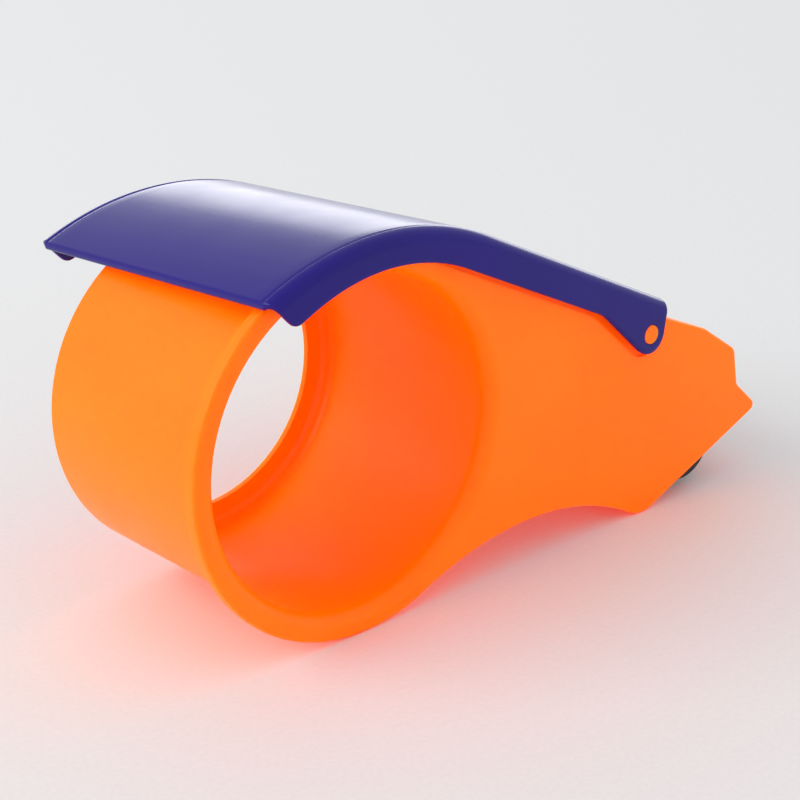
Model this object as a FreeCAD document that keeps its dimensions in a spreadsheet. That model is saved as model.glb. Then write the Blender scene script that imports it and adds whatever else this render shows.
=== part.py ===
"""Hand-held carton tape dispenser: a hub for the tape roll, a head with roller and cutter, a hinged cover.

Frame: X forward from the hub to the nose, Y along the hub's axis towards its open end, Z up.
The origin is on the hub's axis, half way along the tube's straight wall. The pieces are drawn from the
near cheek's inner face, which the tape roll leans on, and are moved to the origin together at the end.
"""
import FreeCAD, Part
import Sketcher
import math
import os

from FreeCAD import Placement, Rotation, Vector

doc = FreeCAD.newDocument("tape_dispenser")

# ---------------------------------------------------------------------------------------------
# Driving dimensions, in millimetres and degrees
# ---------------------------------------------------------------------------------------------
DIMENSIONS = {
    # hub
    "hub_radius": 37.5,
    "hub_wall": 2.2,
    "hub_length": 52.0,
    "hub_root_fillet": 3.0,
    "hub_end_round": 1.0,
    "flange_radius": 41.0,
    "mouth_flare": 3.5,
    "lip_hole_radius": 29.7,
    "lip_thickness": 1.3,
    "lip_corner": 3.0,
    # cheeks
    "cheek_thickness": 2.5,
    "cheek_edge_round": 0.8,
    "far_cheek_rear": 71.5,
    "far_cheek_corner": 2.0,
    "cheek_gap": 64.5,
    "recess_depth": 0.95,
    "arch_peak_forward": 48.0,
    "arch_peak_height": -31.0,
    "foot_radius": 8.0,
    "foot_height": -41.0,
    "front_slope": 22.1,
    # cover
    "cover_wall": 1.6,
    "cover_side_wall": 1.8,
    "cover_side_gap": 0.3,
    "cover_arc_radius": 67.0,
    "cover_arc_forward": 5.0,
    "cover_crown_height": 43.8,
    "cover_far_drop": 4.4,
    "cover_slope": 26.0,
    "cover_rear": -24.8,
    "cover_front": 89.4,
    "skirt_depth": 8.0,
    "skirt_crown_depth": 6.8,
    "cover_flare": 1.6,
    "rim_round": 2.8,
    "ear_radius": 4.8,
    # cover hinge
    "pivot_forward": 83.4,
    "pivot_height": 3.6,
    "pivot_radius": 2.1,
    "pivot_clearance": 0.07,
    # roller
    "roller_forward": 103.0,
    "roller_height": -29.5,
    "roller_radius": 9.5,
    "roller_core_radius": 7.0,
    "roller_end_gap": 1.2,
    "axle_radius": 2.5,
    "axle_clearance": 0.08,
    "axle_seat_depth": 1.8,
    "washer_radius": 5.0,
    "washer_thickness": 0.8,
    # cutter
    "blade_top_forward": 111.2,
    "blade_top_height": -11.5,
    "blade_angle": 52.0,
    "blade_length": 14.4,
    "blade_thickness": 0.5,
    "blade_width": 62.0,
    "tooth_pitch": 2.0,
    "tooth_depth": 1.6,
    "clamp_width": 60.0,
    "clamp_length": 7.0,
    "clamp_thickness": 1.6,
    "seat_thickness": 3.0,
    # tongue that keeps the tape's end from running back
    "tongue_forward": 80.6,
    "tongue_height": -28.6,
    "tongue_angle": 16.0,
    "tongue_length": 12.8,
    "tongue_width": 50.0,
    "tongue_thickness": 0.4,
    "strip_length": 5.0,
    "strip_thickness": 1.0,
    # screws
    "screw_radius": 1.25,
    "screw_head_radius": 2.4,
    "screw_head_height": 1.3,
    "pilot_radius": 1.28,
    "screw_reach": 9.0,
    "seat_pilot_depth": 6.2,
    "post_radius": 3.2,
    "deck_thickness": 2.0,
}

sheet = doc.addObject("Spreadsheet::Sheet", "Dimensions")
for row, (name, value) in enumerate(DIMENSIONS.items(), start=1):
    sheet.set("A%d" % row, name)
    sheet.set("B%d" % row, str(value))
    sheet.setAlias("B%d" % row, name)
doc.recompute()


def size(name):
    """A driving dimension, read back from the sheet."""
    return float(sheet.get(name))


def cell(name):
    return "Dimensions." + name


# ---------------------------------------------------------------------------------------------
# Places that follow from the driving dimensions (side view, x forward and z up)
# ---------------------------------------------------------------------------------------------
THICK = size("cheek_thickness")
GAP = size("cheek_gap")
PIVOT = (size("pivot_forward"), size("pivot_height"))
ROLLER = (size("roller_forward"), size("roller_height"))
TOP_BREAK = (105.0, -0.9)
TOP_FRONT = (115.9, -8.5)
NOTCH = (117.4, -17.8)
NOSE_ANGLE = 43.0
POSTS = [(75.5, -1.6), (103.5, -9.0)]
SCREW_PLACES = POSTS + [(84.2, -33.6)]
REAR_ARC = 24.0
REAR_RAKE = 47.0


def polar(centre, radius, degrees):
    a = math.radians(degrees)
    return (centre[0] + radius * math.cos(a), centre[1] + radius * math.sin(a))


def angle_of(point, centre=(0.0, 0.0)):
    return math.degrees(math.atan2(point[1] - centre[1], point[0] - centre[0]))


def shifted(point, degrees, distance):
    return polar(point, distance, degrees)


def meet(p, p_angle, q, q_angle):
    """Where two lines, each given by a point and a direction, cross."""
    ux, uz = polar((0, 0), 1, p_angle)
    vx, vz = polar((0, 0), 1, q_angle)
    run = ((q[0] - p[0]) * vz - (q[1] - p[1]) * vx) / (ux * vz - uz * vx)
    return (p[0] + run * ux, p[1] + run * uz)


# ---------------------------------------------------------------------------------------------
# Helpers: bodies, sketches and outlines
# ---------------------------------------------------------------------------------------------
def new_body(label):
    body = doc.addObject("PartDesign::Body", label)
    body.Label = label
    return body


def new_sketch(body, plane, name, offset=0.0):
    """A sketch on one of the body's own origin planes, moved along the plane's normal."""
    sketch = body.newObject("Sketcher::SketchObject", name)
    support = [f for f in body.Origin.OriginFeatures if f.Role == plane][0]
    sketch.AttachmentSupport = [(support, "")]
    sketch.MapMode = "FlatFace"
    sketch.AttachmentOffset = Placement(Vector(0, 0, offset), Rotation())
    return sketch


def rounded(points):
    """Line and arc pieces of a closed outline whose corners (x, z, radius) are rounded."""
    starts, ends, centres = [], [], []
    count = len(points)
    for i, (x, z, radius) in enumerate(points):
        before = points[i - 1]
        after = points[(i + 1) % count]
        to_before = angle_of(before, (x, z))
        to_after = angle_of(after, (x, z))
        if radius == 0:
            starts.append((x, z))
            ends.append((x, z))
            centres.append(None)
            continue
        turn = (to_after - to_before) % 360
        half = math.radians(min(turn, 360 - turn) / 2)
        reach = radius / math.tan(half)
        starts.append(shifted((x, z), to_before, reach))
        ends.append(shifted((x, z), to_after, reach))
        middle = math.radians(to_before), math.radians(to_after)
        bx = math.cos(middle[0]) + math.cos(middle[1])
        bz = math.sin(middle[0]) + math.sin(middle[1])
        scale = radius / math.sin(half) / math.hypot(bx, bz)
        centres.append((x + bx * scale, z + bz * scale))
    pieces = []
    for i in range(count):
        if centres[i] is not None:
            pieces.append(arc(starts[i], ends[i], centres[i], short=True))
        pieces.append(("line", ends[i], starts[(i + 1) % count]))
    return pieces


def arc(start, end, centre, short=False, ccw=True):
    """An arc piece; with short, the way round that turns less than half a circle is taken."""
    if short:
        ccw = (angle_of(end, centre) - angle_of(start, centre)) % 360 < 180
    return ("arc", start, end, centre, ccw)


def draw(sketch, pieces, bound=()):
    """Add a closed chain of pieces; bound lists (piece number, alias) for arc radii driven by the sheet."""
    for piece, following in zip(pieces, pieces[1:] + pieces[:1]):
        if math.dist(piece[2], following[1]) > 1e-3:
            raise RuntimeError("%s is not closed at %s" % (sketch.Name, piece[2]))
    ends = []
    for piece in pieces:
        kind, start, end = piece[:3]
        if kind == "line":
            shape = Part.LineSegment(Vector(*start, 0), Vector(*end, 0))
            number = sketch.addGeometry(shape, False)
            ends.append((number, 1, 2))
            continue
        centre, ccw = piece[3:]
        radius = math.dist(start, centre)
        first, last = (start, end) if ccw else (end, start)
        a0 = math.radians(angle_of(first, centre))
        a1 = math.radians(angle_of(last, centre))
        if a1 <= a0:
            a1 += 2 * math.pi
        circle = Part.Circle(Vector(*centre, 0), Vector(0, 0, 1), radius)
        number = sketch.addGeometry(Part.ArcOfCircle(circle, a0, a1), False)
        ends.append((number, 1, 2) if ccw else (number, 2, 1))
    for (one, _, tail), (two, head, _) in zip(ends, ends[1:] + ends[:1]):
        sketch.addConstraint(Sketcher.Constraint("Coincident", one, tail, two, head))
    for place, alias in bound:
        number = ends[place][0]
        radius = sketch.Geometry[number].Radius
        index = sketch.addConstraint(Sketcher.Constraint("Radius", number, radius))
        sketch.setExpression("Constraints[%d]" % index, cell(alias))
    return ends


def draw_circle(sketch, centre, alias, extra=None):
    """A circle whose radius is bound to the sheet, with an optional further term."""
    number = sketch.addGeometry(Part.Circle(Vector(*centre, 0), Vector(0, 0, 1), size(alias)), False)
    index = sketch.addConstraint(Sketcher.Constraint("Radius", number, size(alias)))
    formula = cell(alias) if extra is None else "%s + %s" % (cell(alias), cell(extra))
    sketch.setExpression("Constraints[%d]" % index, formula)
    return number


def pad(body, sketch, length, towards_open_side=False):
    """Pad a side-view sketch; length is a formula on the sheet or a number."""
    feature = body.newObject("PartDesign::Pad", sketch.Name + "Pad")
    feature.Profile = sketch
    if isinstance(length, str):
        feature.setExpression("Length", length)
    else:
        feature.Length = length
    feature.Reversed = towards_open_side
    sketch.Visibility = False
    return feature


def pocket(body, sketch, length, towards_open_side=False):
    """Pocket a side-view sketch and make sure that it takes material away."""
    before = body.Tip
    doc.recompute()
    volume = before.Shape.Volume
    feature = body.newObject("PartDesign::Pocket", sketch.Name + "Pocket")
    feature.Profile = sketch
    if isinstance(length, str):
        feature.setExpression("Length", length)
    else:
        feature.Length = length
    feature.Reversed = not towards_open_side
    doc.recompute()
    if feature.Shape.Volume > volume - 0.01:
        feature.Reversed = towards_open_side
        doc.recompute()
    if feature.Shape.Volume > volume - 0.01:
        raise RuntimeError(sketch.Name + " cuts nothing")
    return feature


def turned(body, kind, sketch):
    """A Revolution or Groove about the Y axis of a sketch in the XY plane."""
    feature = body.newObject("PartDesign::" + kind, sketch.Name + kind)
    feature.Profile = sketch
    feature.ReferenceAxis = (sketch, ["V_Axis"])
    feature.Angle = 360
    return feature


def round_edges(body, name, alias, wanted):
    """Fillet every edge of the tip that the test picks out."""
    doc.recompute()
    base = body.Tip
    picked = ["Edge%d" % (i + 1) for i, edge in enumerate(base.Shape.Edges) if wanted(edge)]
    if not picked:
        raise RuntimeError(name + " finds no edge")
    fillet = body.newObject("PartDesign::Fillet", name)
    fillet.Base = (base, picked)
    fillet.setExpression("Radius", cell(alias))
    return fillet


# ---------------------------------------------------------------------------------------------
# Side outlines of the cheeks
# ---------------------------------------------------------------------------------------------
def cheek_pieces():
    """Near cheek, anticlockwise from the hub's top: hub rim, arch, foot, nose, head, top edge."""
    rim = size("flange_radius")
    reach = math.hypot(*TOP_BREAK)
    top_angle = angle_of(TOP_BREAK) + math.degrees(math.acos(rim / reach))
    top_start = polar((0, 0), rim, top_angle)
    peak = (size("arch_peak_forward"), size("arch_peak_height"))
    rear_arch = (rim ** 2 - peak[0] ** 2 - peak[1] ** 2) / (-2 * peak[1] - 2 * rim)
    rear_centre = (peak[0], peak[1] - rear_arch)
    arch_start = polar((0, 0), rim, angle_of(rear_centre))
    foot_radius = size("foot_radius")
    slope = size("front_slope")
    line_point = (88.0, -40.3)
    foot_z = size("foot_height") + foot_radius
    normal = polar((0, 0), 1, slope - 90)
    foot_x = line_point[0] - (foot_radius - (line_point[1] - foot_z) * normal[1]) / normal[0]
    foot = (foot_x, foot_z)
    dx = foot[0] - peak[0]
    dz = foot[1] - peak[1]
    front_arch = (dx ** 2 + dz ** 2 - foot_radius ** 2) / (2 * foot_radius - 2 * dz)
    front_centre = (peak[0], peak[1] - front_arch)
    arch_end = polar(front_centre, front_arch, angle_of(foot, front_centre))
    line_start = shifted(foot, slope - 90, foot_radius)
    nose = meet(NOTCH, -NOSE_ANGLE, line_start, slope)
    head = rounded([(*line_start, 0), (*nose, 1.6), (*NOTCH, 2.0), (*TOP_FRONT, 2.6),
                    (*TOP_BREAK, 6.0), (*top_start, 0)])[:-1]
    return [
        arc(top_start, arch_start, (0.0, 0.0)),
        arc(arch_start, peak, rear_centre, ccw=False),
        arc(peak, arch_end, front_centre, ccw=False),
        arc(arch_end, line_start, foot, ccw=True),
    ] + head


OUTLINE = cheek_pieces()


def far_cheek_pieces():
    """The head's part of the same outline, closed by a rear edge behind the hinge pin."""
    rear = size("far_cheek_rear")
    corner = size("far_cheek_corner")
    top_end, top_start = OUTLINE[-1][1:3]
    fall = (top_start[1] - top_end[1]) / (top_start[0] - top_end[0])
    rear_top = (rear, top_end[1] + (rear - top_end[0]) * fall)
    arch_centre = OUTLINE[2][3]
    arch_radius = math.dist(OUTLINE[2][1], arch_centre)
    inner = (rear + corner, arch_centre[1] + math.sqrt(
        (arch_radius + corner) ** 2 - (rear + corner - arch_centre[0]) ** 2))
    on_arch = polar(arch_centre, arch_radius, angle_of(inner, arch_centre))
    back = rounded([(*top_end, 0), (*rear_top, corner), (rear, inner[1], 0)])[:3]
    return [arc(on_arch, OUTLINE[2][2], arch_centre, ccw=False)] + OUTLINE[3:-1] + back + [
        arc((rear, inner[1]), on_arch, inner),
    ]


def recess_pieces():
    """The shallow step in a cheek's outer face that the cover's skirt lies in, behind the hinge ear."""
    skirt = skirt_line()
    step = 0.9
    ear = size("ear_radius") + step
    low = shifted(skirt[0], skirt[1] - 90, step)
    tangent = polar(PIVOT, ear, 227.0)
    corner = meet(low, skirt[1], tangent, 137.0)
    rim = size("flange_radius")
    rear = shifted(low, skirt[1], -70.0)
    return rounded([(*rear, 0), (*corner, 4.0), (*tangent, 0)])[:3] + [
        arc(tangent, polar(PIVOT, ear, 0.0), PIVOT),
        ("line", polar(PIVOT, ear, 0.0), (PIVOT[0] + ear, PIVOT[1] + 20.0)),
        ("line", (PIVOT[0] + ear, PIVOT[1] + 20.0), (rear[0], rim + 25.0)),
        ("line", (rear[0], rim + 25.0), rear),
    ]


# ---------------------------------------------------------------------------------------------
# Side outlines of the cover
# ---------------------------------------------------------------------------------------------
def cover_front_top():
    """The top corner of the cover's front edge: the same on both sides."""
    centre = (size("cover_arc_forward"), size("cover_crown_height") - size("cover_arc_radius"))
    slope = size("cover_slope")
    tangent = polar(centre, size("cover_arc_radius"), 90 - slope)
    return meet(tangent, -slope, (size("cover_front"), 0.0), 90)


def top_shape(drop):
    """Arc centre, tangent point and slope of the top line with the arc lowered by drop."""
    front = cover_front_top()
    radius = size("cover_arc_radius")
    centre = (size("cover_arc_forward"), size("cover_crown_height") - radius - drop)
    away = angle_of(front, centre)
    swing = math.degrees(math.acos(radius / math.dist(front, centre)))
    tangent = polar(centre, radius, away + swing)
    return centre, tangent, 90 - (away + swing)


def skirt_line(drop=0.0):
    """A point and the direction of the skirt's straight lower edge, front to rear."""
    centre, tangent, slope = top_shape(drop)
    return shifted(tangent, -slope - 90, size("skirt_depth")), -slope


def cover_pieces(drop, inset=0.0):
    """Outline of one slice of the cover, from the rear top corner forward and back along the skirt.

    The inset lowers the top line only, which rounds the cover's two side rims slice by slice.
    """
    centre, _, slope = top_shape(drop)
    radius = size("cover_arc_radius")
    crown_low = (centre[0], centre[1] + radius - size("skirt_crown_depth"))
    radius -= inset
    tangent = polar(centre, radius, 90 - slope)
    front = meet(tangent, -slope, (size("cover_front"), 0.0), 90)
    ear = size("ear_radius")
    rear_x = size("cover_rear")
    rear = (rear_x, centre[1] + math.sqrt(radius ** 2 - (rear_x - centre[0]) ** 2))
    # the skirt's lower arc touches a level line at the crown and the sloping line in front of it
    low_point, low_angle = skirt_line(drop)
    corner = meet(crown_low, 0, low_point, low_angle)
    low_radius = (corner[0] - crown_low[0]) / math.tan(math.radians(slope / 2))
    low_centre = (crown_low[0], crown_low[1] - low_radius)
    low_tangent = polar(low_centre, low_radius, 90 - slope)
    # the skirt's rear corner is rounded between the lower arc and the raked rear edge
    tail = polar(low_centre, low_radius, 90 + REAR_ARC)
    tip = meet(tail, REAR_ARC, rear, -REAR_RAKE)
    heel = rounded([(*tail, 0), (*tip, 2.4), (*rear, 0)])
    ear_left = polar(PIVOT, ear, 227.0)
    ear_corner = meet(low_point, low_angle, ear_left, 137.0)
    blend = rounded([(*ear_left, 0), (*ear_corner, 3.0), (*low_tangent, 0)])
    front_foot = (PIVOT[0] + ear, PIVOT[1])
    return [
        arc(rear, tangent, centre, ccw=False),
        ("line", tangent, front),
        ("line", front, front_foot),
        arc(front_foot, ear_left, PIVOT, ccw=False), blend[0], blend[1], blend[2],
        arc(low_tangent, tail, low_centre), heel[0], heel[1], heel[2],
    ]


def cover_inside_pieces(drop):
    """The space under the cover's top wall, running out past the rear, the front and the bottom."""
    centre, tangent, slope = top_shape(drop)
    wall = size("cover_wall")
    inner_radius = size("cover_arc_radius") - wall
    inner_tangent = polar(centre, inner_radius, 90 - slope)
    back = polar(centre, inner_radius, 130.0)
    ahead = shifted(inner_tangent, -slope, 90.0)
    low = -60.0
    return [
        arc(back, inner_tangent, centre, ccw=False),
        ("line", inner_tangent, ahead),
        ("line", ahead, (ahead[0], low)),
        ("line", (ahead[0], low), (back[0], low)),
        ("line", (back[0], low), back),
    ]


# ---------------------------------------------------------------------------------------------
# Frame: hub tube, near cheek and the head's bars, moulded in one
# ---------------------------------------------------------------------------------------------
def make_frame():
    body = new_body("frame")
    cheek = new_sketch(body, "XZ_Plane", "CheekOutline")
    draw(cheek, OUTLINE, bound=[(0, "flange_radius"), (3, "foot_radius")])
    pad(body, cheek, cell("cheek_thickness"))

    radius = size("hub_radius")
    length = size("hub_length")
    root = size("hub_root_fillet")
    end = size("hub_end_round")
    tube = new_sketch(body, "XY_Plane", "HubOutside")
    draw(tube, [
        ("line", (0, -1), (radius + root, -1)),
        ("line", (radius + root, -1), (radius + root, 0)),
        arc((radius + root, 0), (radius, root), (radius + root, root), ccw=False),
        ("line", (radius, root), (radius, length - end)),
        arc((radius, length - end), (radius - end, length), (radius - end, length - end)),
        ("line", (radius - end, length), (0, length)),
        ("line", (0, length), (0, -1)),
    ], bound=[(2, "hub_root_fillet"), (4, "hub_end_round")])
    turned(body, "Revolution", tube)

    for number, (x, z) in enumerate(POSTS):
        post = new_sketch(body, "XZ_Plane", "Post%d" % number)
        draw_circle(post, (x, z), "post_radius")
        pad(body, post, cell("cheek_gap"), towards_open_side=True)
    for name, pieces in (("Deck", deck_pieces()), ("TongueBar", tongue_bar_pieces())):
        bar = new_sketch(body, "XZ_Plane", name)
        draw(bar, pieces)
        pad(body, bar, cell("cheek_gap"), towards_open_side=True)
    round_edges(body, "CheekEdge", "cheek_edge_round", lambda edge: on_plane(edge, -THICK))

    wall = size("hub_wall")
    flare = size("mouth_flare")
    bore = radius - wall
    hole = size("lip_hole_radius")
    lip_face = length - size("lip_thickness")
    inner = size("lip_corner")
    inside = new_sketch(body, "XY_Plane", "HubInside")
    mouth = flare - THICK
    draw(inside, [
        ("line", (0, -THICK - 1), (bore + flare, -THICK - 1)),
        ("line", (bore + flare, -THICK - 1), (bore + flare, -THICK)),
        arc((bore + flare, -THICK), (bore, mouth), (bore + flare, mouth), ccw=False),
        ("line", (bore, mouth), (bore, lip_face - inner)),
        arc((bore, lip_face - inner), (bore - inner, lip_face), (bore - inner, lip_face - inner)),
        ("line", (bore - inner, lip_face), (hole, lip_face)),
        ("line", (hole, lip_face), (hole, length + 1)),
        ("line", (hole, length + 1), (0, length + 1)),
        ("line", (0, length + 1), (0, -THICK - 1)),
    ], bound=[(2, "mouth_flare"), (4, "lip_corner")])
    turned(body, "Groove", inside)

    add_cheek_details(body, -THICK, 0.0, outward=-1)
    for number, (x, z) in enumerate(SCREW_PLACES):
        pilot = new_sketch(body, "XZ_Plane", "Pilot%d" % number, offset=-GAP)
        draw_circle(pilot, (x, z), "pilot_radius")
        pocket(body, pilot, "%s + 1" % cell("screw_reach"))
    return body


def on_plane(edge, y):
    box = edge.BoundBox
    return abs(box.YMin - y) < 0.01 and abs(box.YMax - y) < 0.01


def add_cheek_details(body, outer, inner, outward):
    """Recess for the cover's skirt and hinge pin on the outer face, axle seat in the inner face."""
    recess = new_sketch(body, "XZ_Plane", "Recess", offset=-outer)
    draw(recess, recess_pieces())
    pocket(body, recess, cell("recess_depth"), towards_open_side=outward < 0)
    pin = new_sketch(body, "XZ_Plane", "HingePin", offset=-(outer - outward * size("recess_depth")))
    draw_circle(pin, PIVOT, "pivot_radius")
    pad(body, pin, "%s + %s + %s + 0.1" % tuple(cell(n) for n in
        ("recess_depth", "cover_side_gap", "cover_side_wall")), towards_open_side=outward > 0)
    seat = new_sketch(body, "XZ_Plane", "AxleSeat", offset=-inner)
    draw_circle(seat, ROLLER, "axle_radius")
    pocket(body, seat, cell("axle_seat_depth"), towards_open_side=outward > 0)


def deck_pieces():
    """Top wall of the head and, bent down in front of it, the seat that the blade lies on."""
    wall = size("deck_thickness")
    top_end, top_start = OUTLINE[-1][1], OUTLINE[-1][2]
    top_angle = angle_of(top_end, top_start)
    start = shifted(TOP_BREAK, top_angle, -13.2)
    deck_angle = angle_of(TOP_FRONT, TOP_BREAK)
    blade_down = -size("blade_angle")
    depth = size("seat_thickness")
    face_top = shifted((size("blade_top_forward"), size("blade_top_height")), blade_down, -1.0)
    face_low = shifted(face_top, blade_down, 10.5)
    back_low = shifted(face_low, blade_down - 90, depth)
    back_top = shifted(face_top, blade_down - 90, depth)
    deck_front = shifted(TOP_BREAK, deck_angle, 9.0)
    under_front = shifted(deck_front, deck_angle - 90, wall)
    under_start = shifted(start, top_angle - 90, wall)
    under_break = meet(under_start, top_angle, under_front, deck_angle)
    under_web = shifted(under_front, deck_angle, -depth)
    corners = [under_start, under_break, under_web, back_top, back_low, face_low, face_top, under_front,
               deck_front, TOP_BREAK, start]
    return rounded([(*corner, 0) for corner in corners])


def tongue_bar_pieces():
    """Sloping-topped bar behind the roller."""
    start = (size("tongue_forward"), size("tongue_height"))
    slope = -size("tongue_angle")
    front = shifted(start, slope, 8.0)
    return rounded([(*start, 0), (start[0], start[1] - 8.5, 2.0), (front[0], start[1] - 8.5, 2.0), (*front, 0)])


def make_far_cheek():
    body = new_body("far_cheek")
    outline = new_sketch(body, "XZ_Plane", "FarOutline", offset=-GAP)
    draw(outline, far_cheek_pieces())
    pad(body, outline, cell("cheek_thickness"), towards_open_side=True)
    round_edges(body, "FarEdge", "cheek_edge_round", lambda edge: on_plane(edge, GAP + THICK))
    add_cheek_details(body, GAP + THICK, GAP, outward=1)
    for number, (x, z) in enumerate(SCREW_PLACES):
        through = new_sketch(body, "XZ_Plane", "ScrewHole%d" % number, offset=-GAP)
        draw_circle(through, (x, z), "screw_radius", extra="pivot_clearance")
        pocket(body, through, cell("cheek_thickness"), towards_open_side=True)
    return body


# ---------------------------------------------------------------------------------------------
# Cover: a lofted lid with side skirts and two hinge ears
# ---------------------------------------------------------------------------------------------
def flared_sketch(body, name, y, side):
    """A side-view sketch turned about the hinge, so that the cover is wider at its rear; side is -1 or 1."""
    sketch = new_sketch(body, "XZ_Plane", name)
    turn = Rotation(Vector(0, 1, 0), -side * size("cover_flare"))
    hinge = Vector(PIVOT[0], 0, 0)
    sketch.AttachmentOffset = Placement(hinge + Vector(0, 0, -y) - turn.multVec(hinge), turn)
    return sketch


def make_cover():
    body = new_body("cover")
    near_inner = -THICK - size("cover_side_gap")
    far_inner = GAP + THICK + size("cover_side_gap")
    near_outer = near_inner - size("cover_side_wall")
    far_outer = far_inner + size("cover_side_wall")
    drop = size("cover_far_drop")
    rim = size("rim_round")
    slices = []
    for outer, inward, angles in ((near_outer, 1, (90, 60, 30, 0)), (far_outer, -1, (0, 30, 60, 90))):
        for angle in angles:
            a = math.radians(angle)
            y = outer + inward * rim * (1 - math.sin(a))
            share = (y - near_outer) / (far_outer - near_outer)
            piece = flared_sketch(body, "Slice%d" % len(slices), y, -inward)
            draw(piece, cover_pieces(drop * share, rim * (1 - math.cos(a))), bound=[(3, "ear_radius")])
            slices.append(piece)
    block = body.newObject("PartDesign::AdditiveLoft", "CoverBlock")
    block.Profile = slices[0]
    block.Sections = slices[1:]
    block.Ruled = True
    span = (far_inner - near_inner) / (far_outer - near_outer)
    inset = (near_inner - near_outer) / (far_outer - near_outer)
    near_in = flared_sketch(body, "NearInside", near_inner, -1)
    draw(near_in, cover_inside_pieces(drop * inset))
    far_in = flared_sketch(body, "FarInside", far_inner, 1)
    draw(far_in, cover_inside_pieces(drop * (inset + span)))
    hollow = body.newObject("PartDesign::SubtractiveLoft", "CoverHollow")
    hollow.Profile = near_in
    hollow.Sections = [far_in]
    hollow.Ruled = True
    holes = new_sketch(body, "XZ_Plane", "EarHoles", offset=1 - near_outer)
    draw_circle(holes, PIVOT, "pivot_radius", extra="pivot_clearance")
    pocket(body, holes, cell("cheek_gap") + " + 20", towards_open_side=True)
    return body


# ---------------------------------------------------------------------------------------------
# Roller: steel axle, moulded core, rubber sleeve and two washers
# ---------------------------------------------------------------------------------------------
def make_ring(label, start, length, inner, outer):
    """A tube along Y, centred on the roller's axis; all four arguments are formulas on the sheet."""
    body = new_body(label)
    sketch = body.newObject("Sketcher::SketchObject", label + "Section")
    support = [f for f in body.Origin.OriginFeatures if f.Role == "XZ_Plane"][0]
    sketch.AttachmentSupport = [(support, "")]
    sketch.MapMode = "FlatFace"
    for radius in (outer, inner):
        if radius is None:
            continue
        number = sketch.addGeometry(Part.Circle(Vector(0, 0, 0), Vector(0, 0, 1), 5.0 + sketch.GeometryCount), False)
        index = sketch.addConstraint(Sketcher.Constraint("Radius", number, 5.0))
        sketch.setExpression("Constraints[%d]" % index, radius)
        sketch.addConstraint(Sketcher.Constraint("Coincident", number, 3, -1, 1))
    pad(body, sketch, length, towards_open_side=True)
    body.Placement = Placement(Vector(ROLLER[0], start, ROLLER[1]), Rotation())
    return body


def make_roller():
    gap = size("roller_end_gap")
    seat = size("axle_seat_depth") - 0.1
    bore = "%s + %s" % (cell("axle_radius"), cell("axle_clearance"))
    make_ring("roller_axle", -seat, "%s + %s * 2 - 0.2" % (cell("cheek_gap"), cell("axle_seat_depth")),
              None, cell("axle_radius") + " - 0.02")
    make_ring("roller_core", gap, "%s - 2 * %s" % (cell("cheek_gap"), cell("roller_end_gap")),
              bore, cell("roller_core_radius"))
    make_ring("roller_sleeve", gap + 0.3, "%s - 2 * %s - 0.6" % (cell("cheek_gap"), cell("roller_end_gap")),
              cell("roller_core_radius"), cell("roller_radius"))
    thin = size("washer_thickness")
    for side, start in (("near", 0.1), ("far", GAP - thin - 0.1)):
        make_ring("roller_washer_" + side, start, cell("washer_thickness"), bore, cell("washer_radius"))


# ---------------------------------------------------------------------------------------------
# Cutter and tongue: flat pieces laid on sloping seats
# ---------------------------------------------------------------------------------------------
def lay(body, place, angle, lift=0.0):
    """Lay a flat piece: its local x runs along +Y, its local y down the slope, its local z into the seat."""
    across = Vector(0, 1, 0)
    down = Vector(*polar((0, 0), 1, -angle), 0)
    down = Vector(down.x, 0, down.y)
    into = across.cross(down)
    origin = Vector(place[0], GAP / 2, place[1]) - into * lift
    body.Placement = Placement(origin, Rotation(across, down, into, "ZXY"))


def flat_sketch(body, name):
    sketch = body.newObject("Sketcher::SketchObject", name)
    support = [f for f in body.Origin.OriginFeatures if f.Role == "XY_Plane"][0]
    sketch.AttachmentSupport = [(support, "")]
    sketch.MapMode = "FlatFace"
    return sketch


def punch(body, places, depth_formula):
    """Screw holes through a flat piece."""
    for number, (x, y) in enumerate(places):
        hole = flat_sketch(body, "Hole%d" % number)
        draw_circle(hole, (x, y), "screw_radius", extra="pivot_clearance")
        pocket(body, hole, depth_formula)


BLADE_PLACE = (size("blade_top_forward"), size("blade_top_height"))
BLADE_SCREWS = [(-24.0, 4.6), (0.0, 4.6), (24.0, 4.6)]
TONGUE_PLACE = (size("tongue_forward"), size("tongue_height"))
TONGUE_SCREWS = [(-18.0, 3.4), (18.0, 3.4)]


def make_blade():
    body = new_body("blade")
    half = size("blade_width") / 2
    length = size("blade_length")
    depth = size("tooth_depth")
    teeth = round(2 * half / size("tooth_pitch"))
    pitch = 2 * half / teeth
    points = [(half, 0), (half, length - depth)]
    for number in range(teeth):
        right = half - number * pitch
        points += [(right - pitch / 2, length), (right - pitch, length - depth)]
    points += [(-half, 0)]
    outline = flat_sketch(body, "BladeOutline")
    draw(outline, rounded([(x, y, 0) for x, y in points]))
    pad(body, outline, cell("blade_thickness"))
    punch(body, BLADE_SCREWS, cell("blade_thickness"))
    lay(body, BLADE_PLACE, size("blade_angle"), size("blade_thickness"))
    return body


def make_plate(label, width, start, length, thickness, holes, place, angle, lift):
    """A flat rectangular piece with rounded corners, laid at a distance above its seat."""
    body = new_body(label)
    half = size(width) / 2
    outline = flat_sketch(body, label + "Outline")
    corner = 1.0
    draw(outline, rounded([(-half, start, corner), (half, start, corner), (half, start + length, corner),
                           (-half, start + length, corner)]))
    pad(body, outline, cell(thickness))
    punch(body, holes, cell(thickness))
    lay(body, place, angle, lift)
    return body


def make_cutter():
    make_blade()
    lift = size("blade_thickness") + size("clamp_thickness")
    make_plate("blade_clamp", "clamp_width", 1.2, size("clamp_length"), "clamp_thickness", BLADE_SCREWS,
               BLADE_PLACE, size("blade_angle"), lift)


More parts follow.
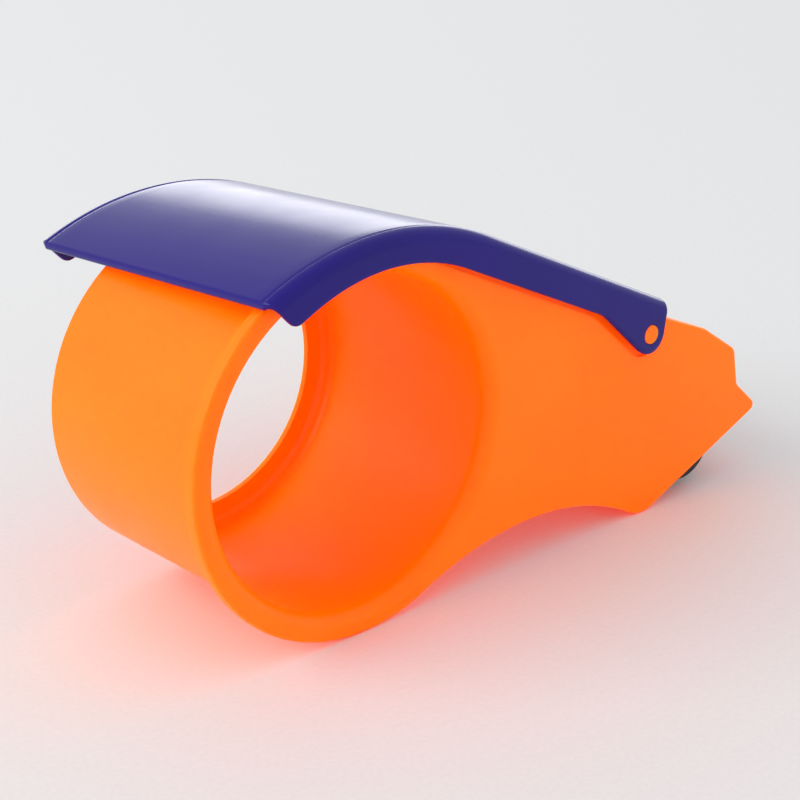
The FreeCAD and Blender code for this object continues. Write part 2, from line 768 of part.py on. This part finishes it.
def make_tongue():
    thin = size("tongue_thickness")
    make_plate("tongue", "tongue_width", 0.8, size("tongue_length"), "tongue_thickness", TONGUE_SCREWS,
               TONGUE_PLACE, size("tongue_angle"), thin)
    make_plate("tongue_strip", "tongue_width", 0.9, size("strip_length"), "strip_thickness", TONGUE_SCREWS,
               TONGUE_PLACE, size("tongue_angle"), thin + size("strip_thickness"))


# ---------------------------------------------------------------------------------------------
# Screws: each group is one piece of several separate solids
# ---------------------------------------------------------------------------------------------
def screw_shape(reach):
    """A pan-head screw along local z, its head under z = 0 and its shank above."""
    head = Part.makeCylinder(size("screw_head_radius"), size("screw_head_height"),
                             Vector(0, 0, -size("screw_head_height")))
    rim = [e for e in head.Edges if abs(e.BoundBox.ZMax + size("screw_head_height")) < 0.01 and e.Closed]
    head = head.makeFillet(0.6, rim[:1])
    shank = Part.makeCylinder(size("screw_radius"), reach)
    slot = 0.5
    wide = 2.6
    drive = Part.makeBox(wide, slot, 0.7, Vector(-wide / 2, -slot / 2, -size("screw_head_height")))
    cross = Part.makeBox(slot, wide, 0.7, Vector(-slot / 2, -wide / 2, -size("screw_head_height")))
    return head.fuse(shank).cut(drive).cut(cross)


def make_screws(label, placements, reach):
    group = doc.addObject("Part::Feature", label)
    group.Label = label
    group.Shape = Part.Compound([transformed(screw_shape(reach), p) for p in placements])


def transformed(shape, placement):
    moved = shape.copy()
    moved.Placement = placement
    return moved


def make_all_screws():
    inward = Rotation(Vector(1, 0, 0), 90)
    side = [Placement(Vector(x, GAP + THICK, z), inward) for x, z in SCREW_PLACES]
    make_screws("cheek_screws", side, THICK + size("screw_reach"))
    flats = (
        ("blade_screws", "blade_clamp", BLADE_SCREWS, 4.4),
        ("tongue_screws", "tongue_strip", TONGUE_SCREWS, 6.0),
    )
    for label, plate, places, reach in flats:
        base = doc.getObject(plate).Placement
        spots = [base.multiply(Placement(Vector(x, y, 0), Rotation())) for x, y in places]
        make_screws(label, spots, reach)


def drill_seats(body):
    """Pilot holes in the frame for the screws of the blade clamp and the tongue strip."""
    doc.recompute()
    for label, places in (("blade_clamp", BLADE_SCREWS), ("tongue_strip", TONGUE_SCREWS)):
        base = doc.getObject(label).Placement
        for number, (x, y) in enumerate(places):
            pilot = new_sketch(body, "XY_Plane", "%s_pilot%d" % (label, number))
            pilot.AttachmentOffset = base.multiply(Placement(Vector(x, y, 0), Rotation()))
            draw_circle(pilot, (0, 0), "pilot_radius")
            pocket(body, pilot, cell("seat_pilot_depth"))


frame = make_frame()
make_far_cheek()
make_cover()
make_roller()
make_cutter()
make_tongue()
drill_seats(frame)
make_all_screws()
doc.recompute()

hub_middle = (size("hub_root_fillet") + size("hub_length") - size("hub_end_round")) / 2
to_origin = Placement(Vector(0, -hub_middle, 0), Rotation())
PIECES = [item for item in doc.Objects
          if item.TypeId == "PartDesign::Body" or (item.TypeId == "Part::Feature" and "screws" in item.Label)]
for piece in PIECES:
    piece.Placement = to_origin.multiply(piece.Placement)
doc.recompute()

# ---------------------------------------------------------------------------------------------
# Check every object and write one STEP file for each piece
# ---------------------------------------------------------------------------------------------
for item in doc.Objects:
    if any(state in ("Invalid", "Error") for state in item.State):
        raise RuntimeError("%s did not recompute: %s" % (item.Label, item.State))

os.makedirs("parts", exist_ok=True)
for piece in PIECES:
    shape = piece.Shape
    if shape.isNull() or not shape.isValid():
        raise RuntimeError(piece.Label + " has no valid shape")
    shape.exportStep("parts/%s.step" % piece.Label)
    box = shape.BoundBox
    print("%-18s %2d solid(s) %9.1f mm3  x %.1f..%.1f  y %.1f..%.1f  z %.1f..%.1f" % (
        piece.Label, len(shape.Solids), shape.Volume, box.XMin, box.XMax, box.YMin, box.YMax,
        box.ZMin, box.ZMax))
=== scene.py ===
"""Hand-held carton tape dispenser: an orange moulded frame with a blue lid hinged on its head.

Metres, in the frame's own axes: X forward from the hub to the nose, Y along the hub, Z up.
"""
import math

import bmesh
import bpy
from mathutils import Euler, Matrix, Vector


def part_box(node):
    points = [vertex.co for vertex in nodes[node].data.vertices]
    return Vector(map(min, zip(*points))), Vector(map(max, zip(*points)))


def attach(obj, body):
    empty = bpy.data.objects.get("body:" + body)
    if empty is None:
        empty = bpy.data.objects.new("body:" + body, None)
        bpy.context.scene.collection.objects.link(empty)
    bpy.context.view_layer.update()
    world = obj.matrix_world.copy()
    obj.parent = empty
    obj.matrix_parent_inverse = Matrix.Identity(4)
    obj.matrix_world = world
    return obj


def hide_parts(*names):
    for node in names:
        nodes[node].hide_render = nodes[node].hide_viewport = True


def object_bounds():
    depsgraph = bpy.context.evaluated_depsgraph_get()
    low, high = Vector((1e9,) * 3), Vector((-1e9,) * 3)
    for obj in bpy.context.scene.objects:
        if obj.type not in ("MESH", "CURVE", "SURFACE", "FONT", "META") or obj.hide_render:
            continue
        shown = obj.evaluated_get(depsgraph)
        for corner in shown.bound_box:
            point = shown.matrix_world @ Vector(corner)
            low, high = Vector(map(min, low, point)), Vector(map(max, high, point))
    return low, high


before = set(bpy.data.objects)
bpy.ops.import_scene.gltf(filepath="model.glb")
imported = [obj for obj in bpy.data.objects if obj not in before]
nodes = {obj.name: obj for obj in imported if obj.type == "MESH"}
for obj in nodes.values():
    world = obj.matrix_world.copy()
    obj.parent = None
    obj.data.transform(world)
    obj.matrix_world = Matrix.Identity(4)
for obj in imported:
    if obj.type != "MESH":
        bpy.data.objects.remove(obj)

cad_low, cad_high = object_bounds()


# ---------------------------------------------------------------------------------------------
# Camera: a short telephoto about 0.4 m from the object and 0.2 m above the floor, to the left of
# the hub's mouth. It looks down on the object and is turned very slightly off level.
# ---------------------------------------------------------------------------------------------
camera_data = bpy.data.cameras.new("camera")
camera_data.sensor_width = 36.0
camera_data.lens = 90.0
camera_data.clip_start = 0.01
camera = bpy.data.objects.new("camera", camera_data)
bpy.context.scene.collection.objects.link(camera)
CAMERA_PLACE = (-0.23599, -0.30842, 0.15321)
CAMERA_TURN, CAMERA_DOWN, CAMERA_ROLL = -41.448, 21.398, 1.005
look = Euler((math.radians(90 - CAMERA_DOWN), 0, math.radians(CAMERA_TURN))).to_matrix()
roll = Matrix.Rotation(math.radians(-CAMERA_ROLL), 3, "Z")
camera.matrix_world = Matrix.Translation(CAMERA_PLACE) @ (look @ roll).to_4x4()
bpy.context.scene.camera = camera


# ---------------------------------------------------------------------------------------------
# Floor: one wide sheet of matt white paper, laid flat. The flange's rim and the front foot
# stand on it.
# ---------------------------------------------------------------------------------------------
def new_material(name):
    """An empty material with one principled shader; returns it with its node tree and shader."""
    material = bpy.data.materials.new(name)
    material.use_nodes = True
    tree = material.node_tree
    shader = tree.nodes["Principled BSDF"]
    return material, tree, shader


def add_node(tree, kind, **settings):
    """A node with its inputs set by name."""
    node = tree.nodes.new(kind)
    for key, value in settings.items():
        node.inputs[key.replace("_", " ")].default_value = value
    return node


def mapped_noise(tree, scale, detail=3.0, stretch=(1, 1, 1)):
    """Noise in the object's own metres, stretched along its axes."""
    place = tree.nodes.new("ShaderNodeTexCoord")
    mapping = tree.nodes.new("ShaderNodeMapping")
    mapping.inputs["Scale"].default_value = stretch
    noise = add_node(tree, "ShaderNodeTexNoise", Scale=scale, Detail=detail)
    tree.links.new(place.outputs["Object"], mapping.inputs["Vector"])
    tree.links.new(mapping.outputs["Vector"], noise.inputs["Vector"])
    return noise


BLEND_FROM, BLEND_TO = 0.3, 0.7


def ramp(tree, source, low, high):
    """Two colours or greys blended by a 0 to 1 value."""
    node = tree.nodes.new("ShaderNodeValToRGB")
    first, last = node.color_ramp.elements
    first.position, last.position = BLEND_FROM, BLEND_TO
    first.color, last.color = (*low, 1), (*high, 1)
    tree.links.new(source, node.inputs["Fac"])
    return node


def grey(value):
    return (value, value, value)


FLOOR_REACH, FLOOR_CELLS = 3.0, 8
PAPER_LOW, PAPER_HIGH = (0.80, 0.795, 0.79), (0.83, 0.825, 0.82)
floor_mesh = bpy.data.meshes.new("floor")
floor_form = bmesh.new()
bmesh.ops.create_grid(floor_form, x_segments=FLOOR_CELLS, y_segments=FLOOR_CELLS, size=FLOOR_REACH)
floor_form.to_mesh(floor_mesh)
floor_form.free()
floor = bpy.data.objects.new("floor", floor_mesh)
floor.location = (0, 0, cad_low.z)
bpy.context.scene.collection.objects.link(floor)
paper, tree, shader = new_material("white_paper")
tooth = ramp(tree, mapped_noise(tree, 900).outputs["Fac"], PAPER_LOW, PAPER_HIGH)
tree.links.new(tooth.outputs["Color"], shader.inputs["Base Color"])
shader.inputs["Roughness"].default_value = 0.7
shader.inputs["Specular IOR Level"].default_value = 0.0
floor_mesh.materials.append(paper)


# ---------------------------------------------------------------------------------------------
# Light: a white tent all round, one long softbox low behind the lid and a smaller square one
# from the left of the camera.
# ---------------------------------------------------------------------------------------------
world = bpy.data.worlds.new("tent")
world.use_nodes = True
world.node_tree.nodes["Background"].inputs["Color"].default_value = (0.94, 0.97, 1.0, 1)
world.node_tree.nodes["Background"].inputs["Strength"].default_value = 0.8
bpy.context.scene.world = world
bpy.context.scene.view_settings.view_transform = "Standard"
bpy.context.scene.view_settings.look = "None"


def softbox(name, place, aim, width, height, power, colour=(1, 1, 1)):
    """A rectangular lamp turned to face the point it is aimed at."""
    data = bpy.data.lights.new(name, "AREA")
    data.shape = "RECTANGLE"
    data.size, data.size_y = width, height
    data.energy = power
    data.color = colour
    lamp = bpy.data.objects.new(name, data)
    lamp.location = place
    lamp.rotation_euler = (Vector(aim) - Vector(place)).to_track_quat("-Z", "Y").to_euler()
    bpy.context.scene.collection.objects.link(lamp)


OBJECT_MIDDLE = (0.04, 0.0, 0.0)
softbox("softbox_back", (1.7, 1.7, 0.36), OBJECT_MIDDLE, 3.0, 0.75, 15.0)
softbox("softbox_left", (-1.5, 0.6, 1.0), OBJECT_MIDDLE, 1.4, 1.4, 17.0, (1.0, 0.98, 0.95))


# ---------------------------------------------------------------------------------------------
# Frame: hub tube, near cheek and the head's bars, injection moulded in one piece of glossy,
# slightly see-through orange polypropylene. The tape roll slides over the hub from its free end.
# ---------------------------------------------------------------------------------------------
def moulded_plastic(name, deep, pale, roughness, glow, glow_colour, glow_depth=0.002, shine=0.5,
                    painted_glow=(0, 0, 0), painted_glow_strength=0.0):
    """Glossy moulded plastic: faint flow marks in the colour, uneven gloss, light that soaks in, and
    a painted glow (emission) that lights the plastic without a lamp.
    """
    material, tree, shader = new_material(name)
    flow = mapped_noise(tree, 28, detail=2.0, stretch=(1, 0.35, 1))
    colour = ramp(tree, flow.outputs["Fac"], deep, pale)
    tree.links.new(colour.outputs["Color"], shader.inputs["Base Color"])
    cloud = mapped_noise(tree, 70, detail=4.0)
    gloss = ramp(tree, cloud.outputs["Fac"], grey(roughness * 0.85), grey(roughness * 1.15))
    tree.links.new(gloss.outputs["Color"], shader.inputs["Roughness"])
    skin = mapped_noise(tree, 1500, detail=2.0)
    bump = add_node(tree, "ShaderNodeBump", Strength=0.05, Distance=0.0001)
    tree.links.new(skin.outputs["Fac"], bump.inputs["Height"])
    tree.links.new(bump.outputs["Normal"], shader.inputs["Normal"])
    shader.inputs["Subsurface Weight"].default_value = glow
    shader.inputs["Subsurface Radius"].default_value = glow_colour
    shader.inputs["Subsurface Scale"].default_value = glow_depth
    shader.inputs["Specular IOR Level"].default_value = shine
    # painted glow: emission that makes the plastic shine as if lit from within
    shader.inputs["Emission Color"].default_value = (*painted_glow, 1)
    shader.inputs["Emission Strength"].default_value = painted_glow_strength
    return material


def finish_node(name, material):
    """A carried-over piece takes its finish."""
    slots = nodes[name].material_slots
    if slots:
        for place in slots:
            place.material = material
    else:
        nodes[name].data.materials.append(material)


# The orange has a strong red painted glow (emission). It stands in for light shining through the
# plastic, and it lights the floor red around the frame.
orange = moulded_plastic("orange_plastic", (0.99, 0.225, 0.000), (1.0, 0.255, 0.001),
                         roughness=0.34, glow=1.0, glow_colour=(1.0, 0.30, 0.02), glow_depth=0.004,
                         shine=0.2, painted_glow=(1.0, 0.03, 0.0), painted_glow_strength=0.5)
finish_node("frame", orange)


# ---------------------------------------------------------------------------------------------
# Far cheek: a flat plate moulded in the same orange plastic. Three screws hold it to the frame's
# posts, where it closes the head.
# ---------------------------------------------------------------------------------------------
finish_node("far_cheek", orange)


# ---------------------------------------------------------------------------------------------
# Cover: a blue lid moulded in one shell, arched over the hub, with a skirt down each side that
# ends in an ear. The ears clip over the two pins of the head, and the lid lifts on them.
# ---------------------------------------------------------------------------------------------
MM = 0.001
cover_low, cover_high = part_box("cover")
COVER_WALL = 1.6
RIM_ROUND = 2.8
# the lid widens to the rear: each side turns out by this angle about the hinge
FLARE = math.radians(1.6)
ARC_RADIUS = 67.0
ARC_FORWARD = 5.0
FAR_DROP = 4.4
SLOPE = 26.0
SKIRT_HEIGHT, CROWN_HEIGHT = 8.0, 6.8
# the shell is drawn this much short of its edges, which a round lip then makes up
EDGE_ROUND = 0.4
SKIRT_DEPTH, CROWN_DEPTH = SKIRT_HEIGHT - EDGE_ROUND, CROWN_HEIGHT - EDGE_ROUND
PIVOT = (83.4, 3.6)
EAR_RADIUS = 4.8 - EDGE_ROUND
# where the ear's round meets its rear flank, and how steeply that flank falls
EAR_REAR_TURN = math.radians(227.0)
EAR_LEAN = math.radians(43.0)
flare_at_rear = (PIVOT[0] - cover_low.x / MM) * math.tan(FLARE)
REAR_RAKE = 47.0
TAIL_ARC = 24.0
crown = cover_high.z / MM
near_side, far_side = cover_low.y / MM + flare_at_rear, cover_high.y / MM - flare_at_rear
cover_rear, cover_front = cover_low.x / MM + EDGE_ROUND, cover_high.x / MM - EDGE_ROUND
front_line_x = ARC_FORWARD + ARC_RADIUS * math.sin(math.radians(SLOPE))
front_line_z = crown - ARC_RADIUS * (1 - math.cos(math.radians(SLOPE)))
front_fall = (cover_front - front_line_x) * math.tan(math.radians(SLOPE))
front_top = (cover_front, front_line_z - front_fall)
EDGE_STEP, EDGE_EASE = 0.35, 1.4
SKIRT_STEPS, EAR_STEPS = 24, 16


def top_line(drop):
    """Centre of the lid's arc lowered by drop, and the tangent's slope and touching point."""
    centre = (ARC_FORWARD, crown - ARC_RADIUS - drop)
    away = math.dist(front_top, centre)
    to_front = math.atan2(front_top[1] - centre[1], front_top[0] - centre[0])
    touch = to_front + math.acos(ARC_RADIUS / away)
    point = (centre[0] + ARC_RADIUS * math.cos(touch), centre[1] + ARC_RADIUS * math.sin(touch))
    return centre, math.pi / 2 - touch, point


def top_height(x, drop, depth=0.0):
    """Height of the lid's top surface, or of a surface that lies at a depth under it."""
    centre, slope, touch = top_line(drop)
    if x < touch[0] - depth * math.sin(slope):
        return centre[1] + math.sqrt((ARC_RADIUS - depth) ** 2 - (x - centre[0]) ** 2)
    return touch[1] - (x - touch[0]) * math.tan(slope) - depth / math.cos(slope)


def skirt_edge(drop):
    """Points along one skirt's lower edge, from the lid's rear top corner to the ear's front."""
    centre, slope, touch = top_line(drop)
    crown_low = centre[1] + ARC_RADIUS - CROWN_DEPTH
    line = (touch[0] - SKIRT_DEPTH * math.sin(slope), touch[1] - SKIRT_DEPTH * math.cos(slope))
    corner_x = line[0] + (line[1] - crown_low) / math.tan(slope)
    radius = (corner_x - centre[0]) / math.tan(slope / 2)
    arc_centre = (centre[0], crown_low - radius)
    tail = math.radians(90 + TAIL_ARC)
    tail_point = (arc_centre[0] + radius * math.cos(tail), arc_centre[1] + radius * math.sin(tail))
    rear = (cover_rear, top_height(cover_rear, drop))
    # the raked rear edge meets the skirt's lower edge, which runs on straight from the arc's end
    rise, fall = math.tan(math.radians(TAIL_ARC)), math.tan(math.radians(REAR_RAKE))
    tip_x = (rear[1] - tail_point[1] + fall * rear[0] + rise * tail_point[0]) / (rise + fall)
    tip = (tip_x, rear[1] - fall * (tip_x - rear[0]))
    ear_left = (PIVOT[0] + EAR_RADIUS * math.cos(EAR_REAR_TURN),
                PIVOT[1] + EAR_RADIUS * math.sin(EAR_REAR_TURN))
    lean = math.tan(EAR_LEAN)
    # the skirt's line meets the line of the ear's rear flank
    ear_x = (ear_left[1] + lean * ear_left[0] - line[1] - math.tan(slope) * line[0]) / (
        lean - math.tan(slope))
    ear_corner = (ear_x, line[1] - math.tan(slope) * (ear_x - line[0]))
    path = [rear, tip]
    for i in range(SKIRT_STEPS + 1):
        turn = tail + (math.pi / 2 - slope - tail) * i / SKIRT_STEPS
        path.append((arc_centre[0] + radius * math.cos(turn),
                     arc_centre[1] + radius * math.sin(turn)))
    path.append(ear_corner)
    for i in range(EAR_STEPS + 1):
        turn = EAR_REAR_TURN + (2 * math.pi - EAR_REAR_TURN) * i / EAR_STEPS
        path.append((PIVOT[0] + EAR_RADIUS * math.cos(turn),
                     PIVOT[1] + EAR_RADIUS * math.sin(turn)))
    return eased(path, EDGE_STEP, EDGE_EASE)


WINDOW = 4


def eased(path, step, ease):
    """The path at even steps, its corners rounded by averaging over a short window."""
    lengths = [0.0]
    for a, b in zip(path, path[1:]):
        lengths.append(lengths[-1] + math.dist(a, b))
    total = lengths[-1]

    def at(s):
        s = min(max(s, 0.0), total)
        for i in range(len(path) - 1):
            if s <= lengths[i + 1]:
                break
        part = (s - lengths[i]) / max(lengths[i + 1] - lengths[i], 1e-9)
        return tuple(path[i][k] + part * (path[i + 1][k] - path[i][k]) for k in (0, 1))

    count = int(total / step)
    out = []
    for n in range(count + 1):
        s = total * n / count
        reach = min(ease, s, total - s)
        window = [at(s + reach * k / WINDOW) for k in range(-WINDOW, WINDOW + 1)]
        out.append((sum(p[0] for p in window) / len(window),
                    sum(p[1] for p in window) / len(window)))
    return out


# above 1, this puts a side's points closer together round the rim than on the flat of the skirt
CROWDING = 1.5


def side_section(x_low, z_low, x_top, z_top, y_side, inward, rim, count):
    """One side of a cross-section: up the skirt from its lower edge and round the rim to the top."""
    straight = z_top - rim - z_low
    start = 0.0 if straight > 0 else math.asin(min((z_low - z_top + rim) / rim, 1.0))
    straight = max(straight, 0.0)
    total = straight + rim * (math.pi / 2 - start)
    points = []
    for i in range(count):
        s = total * (1 - (1 - i / (count - 1)) ** CROWDING)
        if s < straight:
            y, z = y_side, z_low + s
        else:
            turn = start + (s - straight) / rim
            y = y_side + inward * rim * (1 - math.cos(turn))
            z = z_top - rim + rim * math.sin(turn)
        x = x_low + (x_top - x_low) * (z - z_low) / max(z_top - z_low, 1e-6)
        points.append((x, y, z))
    return points


SIDE_COUNT, TOP_COUNT = 22, 30
# a fine line beside the rim: how far in from the rim, and how deep
GROOVE = ((0.35, 0.20), (0.75, 0.05), (1.3, 0.0))
near_edge, far_edge = skirt_edge(0.0), skirt_edge(FAR_DROP)
STATIONS = 260


def pick(path, share):
    """The point at a 0 to 1 share of the way along a path of even steps."""
    place = share * (len(path) - 1)
    i = min(int(place), len(path) - 2)
    return tuple(path[i][k] + (place - i) * (path[i + 1][k] - path[i][k]) for k in (0, 1))


LEAN_START = 78.0


def lean_at_front(x):
    """How far the lid's front edge leans forward at its top, growing over the last stretch."""
    share = min(max((x - LEAN_START) / (PIVOT[0] + EAR_RADIUS - LEAN_START), 0.0), 1.0)
    return share * (cover_front - PIVOT[0] - EAR_RADIUS)


def flare_at(x):
    """How far each side stands out at x from where it is at the hinge."""
    return (PIVOT[0] - x) * math.tan(FLARE)


def cover_section(share, depth):
    """A cross-section of the lid's outside (depth 0) or inside (depth of the wall)."""
    rim = RIM_ROUND - depth
    near, far = pick(near_edge, share), pick(far_edge, share)
    near_x, far_x = near[0] + lean_at_front(near[0]), far[0] + lean_at_front(far[0])
    near_y, far_y = near_side - flare_at(near[0]), far_side + flare_at(far[0])
    left = side_section(*near, near_x, top_height(near_x, 0.0, depth),
                        near_y + depth, 1, rim, SIDE_COUNT)
    right = side_section(*far, far_x, top_height(far_x, FAR_DROP, depth),
                         far_y - depth, -1, rim, SIDE_COUNT)
    inner_near, inner_far = near_y + RIM_ROUND, far_y - RIM_ROUND
    groove = [(away, 0.0 if depth else deep) for away, deep in GROOVE]
    spans = [(inner_near + away, deep) for away, deep in groove]
    first, last = GROOVE[-1][0], inner_far - inner_near - GROOVE[-1][0]
    spans += [(inner_near + first + (last - first) * k / TOP_COUNT, 0.0)
              for k in range(1, TOP_COUNT)]
    spans += [(inner_far - away, deep) for away, deep in reversed(groove)]
    middle = []
    for y, deep in spans:
        part = (y - inner_near) / (inner_far - inner_near)
        x = near_x + (far_x - near_x) * part
        middle.append((x, y, top_height(x, FAR_DROP * part, depth) - deep))
    return [Vector(point) * MM for point in left + middle + right[::-1]]


LIP_STEPS = 6
# metres: neighbours nearer than the first share a lip point, the others weld and clear slivers
SAME_POINT, WELD, SLIVER = 2e-5, 0.00001, 0.000005


def closed_shell(outside, inside, lip):
    """A shell from two matching grids of points, its edges closed by a round lip."""
    form = bmesh.new()
    for grid, flip in ((outside, False), (inside, True)):
        verts = [[form.verts.new(point) for point in row] for row in grid]
        for a, b in zip(verts, verts[1:]):
            for i in range(len(a) - 1):
                corners = (a[i], b[i], b[i + 1], a[i + 1])
                form.faces.new(corners[::-1] if flip else corners)
    rows, columns = len(outside), len(outside[0])
    rim = [(r, 0) for r in range(rows)] + [(rows - 1, c) for c in range(1, columns)]
    rim += [(r, columns - 1) for r in range(rows - 2, -1, -1)]
    rim += [(0, c) for c in range(columns - 2, 0, -1)]
    pairs = []
    for r, c in rim:
        pair = (outside[r][c], inside[r][c])
        if not pairs or (pair[0] - pairs[-1][0]).length > SAME_POINT:
            pairs.append(pair)
    loops = []
    for k, (outer, inner) in enumerate(pairs):
        along = pairs[(k + 1) % len(pairs)][0] - pairs[k - 1][0]
        outward = along.cross(outer - inner).normalized()
        loop = []
        for n in range(LIP_STEPS + 1):
            turn = math.pi * n / LIP_STEPS
            point = (outer + inner) / 2 + (outer - inner) / 2 * math.cos(turn)
            loop.append(form.verts.new(point + outward * lip * math.sin(turn)))
        loops.append(loop)
    for k, loop in enumerate(loops):
        following = loops[(k + 1) % len(loops)]
        for n in range(LIP_STEPS):
            form.faces.new((loop[n], loop[n + 1], following[n + 1], following[n]))
    bmesh.ops.remove_doubles(form, verts=form.verts, dist=WELD)
    bmesh.ops.dissolve_degenerate(form, edges=form.edges, dist=SLIVER)
    bmesh.ops.recalc_face_normals(form, faces=form.faces)
    mesh = bpy.data.meshes.new("shell")
    form.to_mesh(mesh)
    form.free()
    return mesh


HOLE_SIDES, DRILL_LENGTH = 64, 0.2


def pierce(piece, radius, centre):
    """Cut a round hole through the piece along Y."""
    cutter = bmesh.new()
    bmesh.ops.create_cone(cutter, cap_ends=True, segments=HOLE_SIDES, radius1=radius,
                          radius2=radius, depth=DRILL_LENGTH)
    bmesh.ops.rotate(cutter, verts=cutter.verts, cent=(0, 0, 0),
                     matrix=Matrix.Rotation(math.pi / 2, 3, "X"))
    bmesh.ops.translate(cutter, verts=cutter.verts, vec=centre)
    mesh = bpy.data.meshes.new("cutter")
    cutter.to_mesh(mesh)
    cutter.free()
    tool = bpy.data.objects.new("cutter", mesh)
    bpy.context.scene.collection.objects.link(tool)
    cut = piece.modifiers.new("hole", "BOOLEAN")
    cut.operation = "DIFFERENCE"
    cut.solver = "EXACT"
    cut.object = tool
    apply_modifiers(piece)
    bpy.data.objects.remove(tool)


def apply_modifiers(piece):
    """Replace the piece's mesh with what its modifiers make of it."""
    bpy.context.view_layer.update()
    depsgraph = bpy.context.evaluated_depsgraph_get()
    mesh = bpy.data.meshes.new_from_object(piece.evaluated_get(depsgraph))
    piece.modifiers.clear()
    piece.data = mesh


shares = [i / (STATIONS - 1) for i in range(STATIONS)]
cover_mesh = closed_shell([cover_section(share, 0.0) for share in shares],
                          [cover_section(share, COVER_WALL) for share in shares], EDGE_ROUND * MM)
lid = bpy.data.objects.new("lid", cover_mesh)
bpy.context.scene.collection.objects.link(lid)
PIN_RADIUS, PIN_CLEARANCE = 2.1, 0.18
pierce(lid, (PIN_RADIUS + PIN_CLEARANCE) * MM, (PIVOT[0] * MM, 0, PIVOT[1] * MM))
for polygon in lid.data.polygons:
    polygon.use_smooth = True
SHARP_ABOVE = math.radians(40)
lid.data.set_sharp_from_angle(angle=SHARP_ABOVE)
blue = moulded_plastic("blue_plastic", (0.010, 0.000, 0.185), (0.013, 0.001, 0.215),
                       roughness=0.20, glow=0.0, glow_colour=(0.2, 0.2, 1.0), shine=0.3)
lid.data.materials.clear()
lid.data.materials.append(blue)
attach(lid, "cover")
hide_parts("cover")


# ---------------------------------------------------------------------------------------------
# Roller: a steel axle held in the two cheeks, with a plastic core, a black rubber sleeve that
# presses the tape down, and a nylon washer at each end.
# ---------------------------------------------------------------------------------------------
def metal(name, colour, roughness, stretch):
    """Bare metal with fine lines left by grinding or drawing."""
    material, tree, shader = new_material(name)
    lines = mapped_noise(tree, 600, detail=5.0, stretch=stretch)
    tint = ramp(tree, lines.outputs["Fac"], [c * 0.86 for c in colour], colour)
    tree.links.new(tint.outputs["Color"], shader.inputs["Base Color"])
    polish = ramp(tree, lines.outputs["Fac"], grey(roughness * 0.8), grey(roughness * 1.25))
    tree.links.new(polish.outputs["Color"], shader.inputs["Roughness"])
    bump = add_node(tree, "ShaderNodeBump", Strength=0.08, Distance=0.0001)
    tree.links.new(lines.outputs["Fac"], bump.inputs["Height"])
    tree.links.new(bump.outputs["Normal"], shader.inputs["Normal"])
    shader.inputs["Metallic"].default_value = 1.0
    return material


axle_steel = metal("drawn_steel", (0.62, 0.62, 0.64), 0.28, (1, 0.05, 1))
finish_node("roller_axle", axle_steel)

rubber, tree, shader = new_material("black_rubber")
grain = mapped_noise(tree, 1100, detail=4.0)
rubber_tint = ramp(tree, grain.outputs["Fac"], (0.010, 0.010, 0.011), (0.022, 0.022, 0.023))
tree.links.new(rubber_tint.outputs["Color"], shader.inputs["Base Color"])
rubber_bump = add_node(tree, "ShaderNodeBump", Strength=0.25, Distance=0.0002)
tree.links.new(grain.outputs["Fac"], rubber_bump.inputs["Height"])
tree.links.new(rubber_bump.outputs["Normal"], shader.inputs["Normal"])
shader.inputs["Roughness"].default_value = 0.55
finish_node("roller_sleeve", rubber)

core_plastic = moulded_plastic("grey_plastic", (0.09, 0.09, 0.095), (0.12, 0.12, 0.125),
                               roughness=0.4, glow=0.0, glow_colour=(1, 1, 1))
finish_node("roller_core", core_plastic)
nylon = moulded_plastic("white_nylon", (0.70, 0.69, 0.66), (0.78, 0.77, 0.74),
                        roughness=0.38, glow=0.3, glow_colour=(1, 1, 1))
finish_node("roller_washer_near", nylon)
finish_node("roller_washer_far", nylon)


# ---------------------------------------------------------------------------------------------
# Cutter: a strip of spring steel with stamped teeth, lying on the head's sloping seat under a
# pressed clamp plate and three screws.
# ---------------------------------------------------------------------------------------------
blade_steel = metal("blade_steel", (0.72, 0.73, 0.75), 0.2, (0.05, 1, 0.05))
finish_node("blade", blade_steel)
finish_node("blade_clamp", metal("zinc_plate", (0.60, 0.61, 0.63), 0.33, (1, 0.1, 1)))
screw_steel = metal("screw_steel", (0.55, 0.55, 0.57), 0.3, (1, 1, 1))
for screws in ("blade_screws", "cheek_screws", "tongue_screws"):
    finish_node(screws, screw_steel)


# ---------------------------------------------------------------------------------------------
# Tongue: a flap of clear film behind the roller that keeps the tape's end from running back,
# held on its bar by a thin strip and two screws.
# ---------------------------------------------------------------------------------------------
film, tree, shader = new_material("clear_film")
haze = mapped_noise(tree, 200, detail=3.0)
film_gloss = ramp(tree, haze.outputs["Fac"], grey(0.12), grey(0.24))
tree.links.new(film_gloss.outputs["Color"], shader.inputs["Roughness"])
film_tint = ramp(tree, haze.outputs["Fac"], (0.86, 0.88, 0.88), (0.92, 0.93, 0.93))
tree.links.new(film_tint.outputs["Color"], shader.inputs["Base Color"])
shader.inputs["Transmission Weight"].default_value = 0.8
shader.inputs["IOR"].default_value = 1.5
finish_node("tongue", film)
finish_node("tongue_strip", orange)
